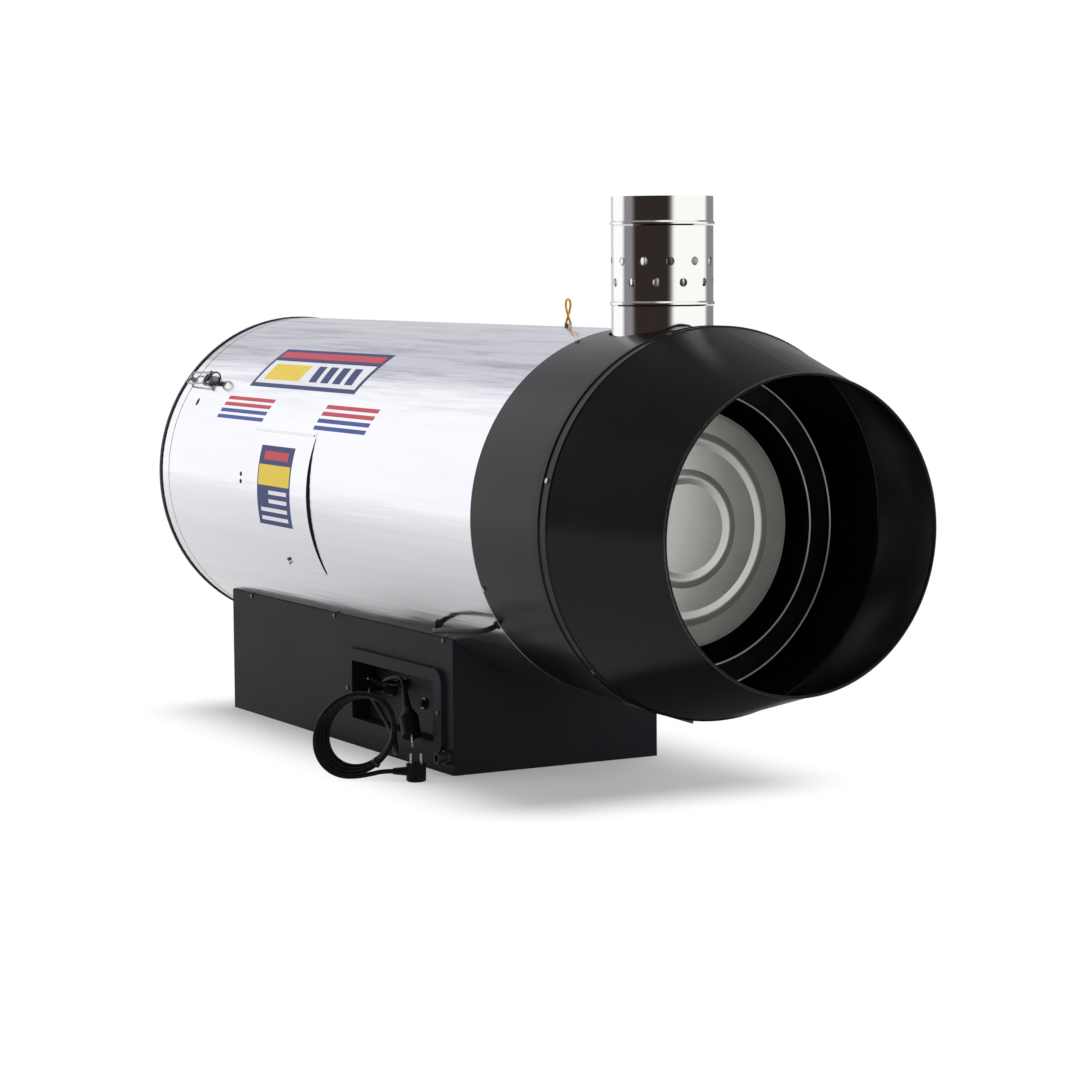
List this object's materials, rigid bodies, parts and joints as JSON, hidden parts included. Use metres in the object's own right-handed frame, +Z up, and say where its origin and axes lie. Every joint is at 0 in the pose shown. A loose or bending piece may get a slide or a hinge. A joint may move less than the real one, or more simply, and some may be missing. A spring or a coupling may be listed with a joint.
{
  "type": "flued gas forced air heater",
  "caption": "Flued gas warm air heater: bright rolled drum on a black base box, flared black outlet with a reducing cone, upright flue pipe, control pocket, mains cord.",
  "frame": {"origin": "on the floor, under the middle of the heater's length and width", "axes": "+Z up, +Y from the warm air outlet to the fan end along the drum, -X the side with the controls"},
  "size_m": [0.8121, 1.986, 1.0681],
  "materials": {
    "bright_steel": "polished",
    "polished_steel": "polished",
    "black_paint": "satin",
    "grey_enamel": "satin",
    "plain_steel": "satin",
    "zinc_steel": "satin",
    "dark_steel": "satin",
    "black_plastic": "matte",
    "plate_paint": "satin",
    "black_rubber": "matte",
    "brass": "polished",
    "nickel": "polished",
    "fan_aluminium": "satin",
    "motor_paint": "satin",
    "white_ceramic": "matte",
    "red_plastic": "gloss"
  },
  "bodies": {
    "heater": {"casing_shell": "bright_steel", "rear_cover_band": "bright_steel", "flue_pipe": "polished_steel", "outlet_ring": "black_paint", "outlet_cone": "black_paint", "rear_edge_trim": "black_rubber", "guard_grille": "dark_steel", "chamber_shell": "grey_enamel", "chamber_end_disc": "grey_enamel", "exchanger_inner_shell": "plain_steel", "exchanger_outer_shell": "plain_steel", "crossover_duct": "plain_steel", "exchanger_supports": "plain_steel", "flue_stub": "plain_steel", "burner_head": "motor_paint", "burner_tube": "plain_steel", "burner_gas_pipe": "zinc_steel", "gas_valve": "brass", "gas_feed_pipe": "zinc_steel", "gas_inlet_union": "dark_steel", "electrode_pair": "white_ceramic", "ignition_controller": "black_plastic", "fan_motor": "motor_paint", "motor_bracket": "dark_steel", "fan_shroud": "zinc_steel", "base_tray": "black_paint", "side_cover_left": "black_paint", "side_cover_right": "black_paint", "side_rails": "zinc_steel", "outlet_support_rail": "zinc_steel", "door_hinge_leaf": "zinc_steel", "door_hinge_pin": "zinc_steel", "latch_mounts": "zinc_steel", "control_bezel": "black_paint", "control_recess": "black_plastic", "control_plate": "plate_paint", "switch_bushes": "nickel", "cord_glands": "black_plastic", "sensor_conduit": "black_rubber", "wire_loop": "brass", "drum_screws": "dark_steel", "panel_screws": "nickel", "mains_lead": "black_rubber", "mains_coil": "black_rubber", "mains_tail": "black_rubber", "mains_plug": "black_rubber", "coil_tie": "black_plastic", "thermostat_lead": "black_rubber", "thermostat_plug": "black_rubber", "plug_pins": "nickel"},
    "fan": {"fan_rotor": "fan_aluminium", "fan_shaft": "plain_steel"},
    "door": {"access_door": "bright_steel"},
    "fastener": {"door_fastener": "zinc_steel"},
    "latch_lever_left": {"latch_lever_left": "zinc_steel"},
    "latch_hook_left": {"latch_hook_left": "zinc_steel"},
    "latch_lever_right": {"latch_lever_right": "zinc_steel"},
    "latch_hook_right": {"latch_hook_right": "zinc_steel"},
    "toggle": {"toggle_lever": "nickel"},
    "reset": {"reset_button": "red_plastic"}
  },
  "joints": [
    {"name": "fan_spin", "type": "hinge", "parent": "heater", "child": "fan", "pos_m": [0, 0.8, 0.50306], "axis": [0, 1, 0], "continuous": true},
    {"name": "door_swing", "type": "hinge", "parent": "heater", "child": "door", "pos_m": [-0.30934, 0.38275, 0.61872], "axis": [0, 1, 0], "range_deg": [0, 100]},
    {"name": "fastener_turn", "type": "hinge", "parent": "door", "child": "fastener", "pos_m": [-0.29942, 0.395, 0.36197], "axis": [-0.9046, 0, -0.4263], "range_deg": [0, 90]},
    {"name": "latch_left", "type": "hinge", "parent": "heater", "child": "latch_lever_left", "pos_m": [-0.2699, 0.874, 0.71016], "axis": [-0.6088, 0, -0.7934], "range_deg": [0, 100]},
    {"name": "hook_left", "type": "hinge", "parent": "latch_lever_left", "child": "latch_hook_left", "pos_m": [-0.27228, 0.86, 0.71199], "axis": [-0.6088, 0, -0.7934], "range_deg": [-100, 0]},
    {"name": "latch_right", "type": "hinge", "parent": "heater", "child": "latch_lever_right", "pos_m": [0.2699, 0.874, 0.71016], "axis": [-0.6088, 0, 0.7934], "range_deg": [0, 100]},
    {"name": "hook_right", "type": "hinge", "parent": "latch_lever_right", "child": "latch_hook_right", "pos_m": [0.27228, 0.86, 0.71199], "axis": [-0.6088, 0, 0.7934], "range_deg": [-100, 0]},
    {"name": "toggle_flip", "type": "hinge", "parent": "heater", "child": "toggle", "pos_m": [-0.18495, 0.238, 0.12717], "axis": [0, -1, 0], "range_deg": [0, 24]},
    {"name": "reset_press", "type": "slide", "parent": "heater", "child": "reset", "axis": [0.9789, 0, -0.2043], "range_m": [0, 0.004], "stiffness_N_per_m": 400, "springref_m": -0.002}
  ],
  "couplings": [
    {"joint": "hook_left", "follows": "latch_left", "ratio": -1},
    {"joint": "hook_right", "follows": "latch_right", "ratio": -1}
  ]
}
